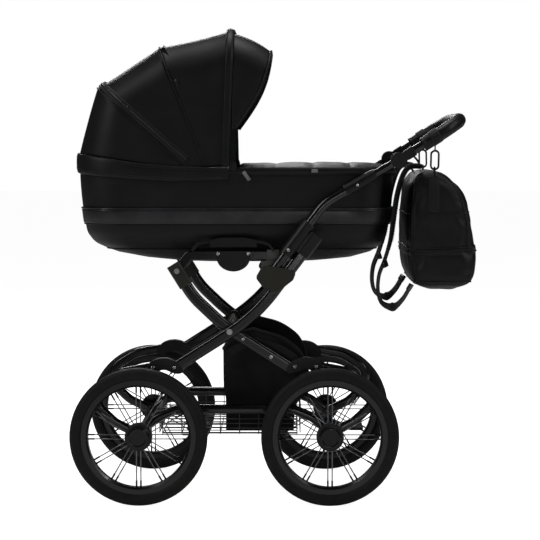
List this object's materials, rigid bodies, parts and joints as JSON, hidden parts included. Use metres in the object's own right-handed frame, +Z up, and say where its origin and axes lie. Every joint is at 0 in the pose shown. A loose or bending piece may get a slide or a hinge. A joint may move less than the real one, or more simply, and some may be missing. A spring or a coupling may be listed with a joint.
{
  "type": "baby stroller",
  "caption": "Retro pram: carrycot with folding hood on a folding crossed-leg frame, C-springs, spoked wheels, push arms with telescoping handle, wire and cloth baskets, hanging bag.",
  "frame": {"origin": "on the ground under the middle of the pram's overall box", "axes": "+Z up, -X towards the hood end (direction of travel), +X towards the handle, Y across"},
  "size_m": [1.0369, 0.608, 1.2199],
  "materials": {
    "rubber_tyre": "matte",
    "black_tube": "satin",
    "dark_spoke": "satin",
    "hub_plastic": "satin",
    "steel": "satin",
    "olive_plastic": "satin",
    "black_plastic": "satin",
    "grey_plastic": "satin",
    "basket_wire": "satin",
    "bright_steel": "satin",
    "leatherette": "satin",
    "trim_leatherette": "satin",
    "basket_cloth": "satin",
    "mattress_cloth": "satin",
    "webbing": "satin"
  },
  "bodies": {
    "seat_frame": {"seat_rails": "black_tube", "seat_latch_hooks": "grey_plastic", "seat_adapters": "black_plastic"},
    "cross_legs": {"cross_legs": "black_tube", "cross_leg_caps": "olive_plastic", "cross_leg_pins": "bright_steel", "rear_springs": "black_tube", "rear_spring_saddles": "black_plastic", "rear_axle": "steel"},
    "push_legs": {"push_legs": "black_tube", "push_arms": "black_tube", "front_springs": "black_tube", "front_spring_saddles": "black_plastic", "arm_hinge_housings": "olive_plastic", "arm_collars": "black_plastic", "seat_latch_pins": "bright_steel", "front_axle": "steel"},
    "front_rails": {"front_rails": "black_tube", "wire_basket": "basket_wire", "fabric_basket": "basket_cloth"},
    "rear_rails": {"rear_rails": "black_tube"},
    "lock_sleeve_left": {"lock_sleeve_left": "black_plastic"},
    "lock_sleeve_right": {"lock_sleeve_right": "black_plastic"},
    "handle_stem": {"handle_stems": "black_tube"},
    "handle": {"handle_yokes": "black_plastic", "handle_tube": "black_tube", "handle_grip": "leatherette", "bag_hanger_loops": "webbing"},
    "bag": {"bag_body": "leatherette", "bag_straps": "webbing", "bag_hooks": "bright_steel"},
    "cot": {"cot_tub": "leatherette", "cot_mattress": "mattress_cloth", "cot_trim_band": "trim_leatherette", "cot_apron": "leatherette", "hood_collar": "leatherette", "hood_pivot_brackets": "black_plastic", "hood_rear_panel": "leatherette"},
    "cot_latch_left": {"cot_latch_left": "black_plastic"},
    "cot_latch_right": {"cot_latch_right": "black_plastic"},
    "hood_rear": {"hood_rear_bow": "steel", "hood_mid_panel": "leatherette"},
    "hood_mid": {"hood_mid_bow": "steel", "hood_front_panel": "leatherette"},
    "hood_front": {"hood_front_bow": "steel"},
    "hood_visor": {"hood_visor": "leatherette"},
    "brake_pedal": {"brake_pedal": "black_plastic"},
    "wheel_front_left": {"wheel_front_left_tyre": "rubber_tyre", "wheel_front_left_rim": "dark_spoke", "wheel_front_left_hub": "hub_plastic"},
    "wheel_front_right": {"wheel_front_right_tyre": "rubber_tyre", "wheel_front_right_rim": "dark_spoke", "wheel_front_right_hub": "hub_plastic"},
    "wheel_rear_left": {"wheel_rear_left_tyre": "rubber_tyre", "wheel_rear_left_rim": "dark_spoke", "wheel_rear_left_hub": "hub_plastic"},
    "wheel_rear_right": {"wheel_rear_right_tyre": "rubber_tyre", "wheel_rear_right_rim": "dark_spoke", "wheel_rear_right_hub": "hub_plastic"}
  },
  "joints": [
    {"name": "frame_fold", "type": "hinge", "parent": "seat_frame", "child": "cross_legs", "pos_m": [-0.248, 0, 0.592], "axis": [0, -1, 0], "range_deg": [0, 25], "deforming": ["fabric_basket"]},
    {"name": "push_leg_fold", "type": "hinge", "parent": "cross_legs", "child": "push_legs", "pos_m": [-0.113, 0, 0.4385], "axis": [0, -1, 0], "range_deg": [-50.1, 0]},
    {"name": "front_rail_fold", "type": "hinge", "parent": "push_legs", "child": "front_rails", "pos_m": [-0.343, 0, 0.175], "axis": [0, -1, 0], "range_deg": [0, 26.2]},
    {"name": "rear_rail_fold", "type": "hinge", "parent": "cross_legs", "child": "rear_rails", "pos_m": [0.143, 0, 0.175], "axis": [0, -1, 0], "range_deg": [-24.2, 0]},
    {"name": "lock_sleeve_left_slide", "type": "slide", "parent": "push_legs", "child": "lock_sleeve_left", "axis": [0.6016, 0, 0.7988], "range_m": [0, 0.03]},
    {"name": "lock_sleeve_right_slide", "type": "slide", "parent": "push_legs", "child": "lock_sleeve_right", "axis": [0.6016, 0, 0.7988], "range_m": [0, 0.03]},
    {"name": "handle_telescope", "type": "slide", "parent": "push_legs", "child": "handle_stem", "axis": [0.8666, 0, 0.499], "range_m": [0, 0.055]},
    {"name": "handle_tilt", "type": "hinge", "parent": "handle_stem", "child": "handle", "pos_m": [0.317, 0, 0.875], "axis": [0, -1, 0], "range_deg": [-25, 4]},
    {"name": "bag_swing", "type": "hinge", "parent": "handle", "child": "bag", "pos_m": [0.40925, 0, 0.89941], "axis": [0, -1, 0], "range_deg": [-4.1, 25.1]},
    {"name": "cot_lift", "type": "slide", "parent": "seat_frame", "child": "cot", "axis": [0, 0, 1], "range_m": [0, 0.3]},
    {"name": "cot_latch_left_pull", "type": "slide", "parent": "cot", "child": "cot_latch_left", "axis": [0, 0, 1], "range_m": [0, 0.008], "stiffness_N_per_m": 1500},
    {"name": "cot_latch_right_pull", "type": "slide", "parent": "cot", "child": "cot_latch_right", "axis": [0, 0, 1], "range_m": [0, 0.008], "stiffness_N_per_m": 1500},
    {"name": "hood_fold", "type": "hinge", "parent": "cot", "child": "hood_rear", "pos_m": [-0.105, 0, 0.862], "axis": [0, -1, 0], "range_deg": [0, 18], "deforming": ["hood_rear_panel"]},
    {"name": "hood_mid_fold", "type": "hinge", "parent": "hood_rear", "child": "hood_mid", "pos_m": [-0.105, 0, 0.862], "axis": [0, -1, 0], "range_deg": [0, 28.1], "deforming": ["hood_mid_panel"]},
    {"name": "hood_front_fold", "type": "hinge", "parent": "hood_mid", "child": "hood_front", "pos_m": [-0.105, 0, 0.862], "axis": [0, -1, 0], "range_deg": [0, 19.1], "deforming": ["hood_front_panel"]},
    {"name": "visor_flip", "type": "hinge", "parent": "hood_front", "child": "hood_visor", "pos_m": [-0.105, 0, 0.862], "axis": [0, -1, 0], "range_deg": [0, 12], "deforming": ["hood_visor"]},
    {"name": "brake_press", "type": "hinge", "parent": "cross_legs", "child": "brake_pedal", "pos_m": [0.143, 0, 0.175], "axis": [0, 1, 0], "range_deg": [0, 20]},
    {"name": "wheel_front_left_spin", "type": "hinge", "parent": "push_legs", "child": "wheel_front_left", "pos_m": [-0.343, 0, 0.175], "axis": [0, 1, 0], "continuous": true},
    {"name": "wheel_front_right_spin", "type": "hinge", "parent": "push_legs", "child": "wheel_front_right", "pos_m": [-0.343, 0, 0.175], "axis": [0, 1, 0], "continuous": true},
    {"name": "wheel_rear_left_spin", "type": "hinge", "parent": "cross_legs", "child": "wheel_rear_left", "pos_m": [0.143, 0, 0.175], "axis": [0, 1, 0], "continuous": true},
    {"name": "wheel_rear_right_spin", "type": "hinge", "parent": "cross_legs", "child": "wheel_rear_right", "pos_m": [0.143, 0, 0.175], "axis": [0, 1, 0], "continuous": true}
  ],
  "couplings": [
    {"joint": "push_leg_fold", "follows": "frame_fold", "ratio": -2},
    {"joint": "front_rail_fold", "follows": "frame_fold", "ratio": 1.038},
    {"joint": "rear_rail_fold", "follows": "frame_fold", "ratio": -0.96203},
    {"joint": "bag_swing", "follows": "handle_tilt", "ratio": -1},
    {"joint": "hood_mid_fold", "follows": "hood_fold", "ratio": 1.556},
    {"joint": "hood_front_fold", "follows": "hood_fold", "ratio": 1.056}
  ]
}
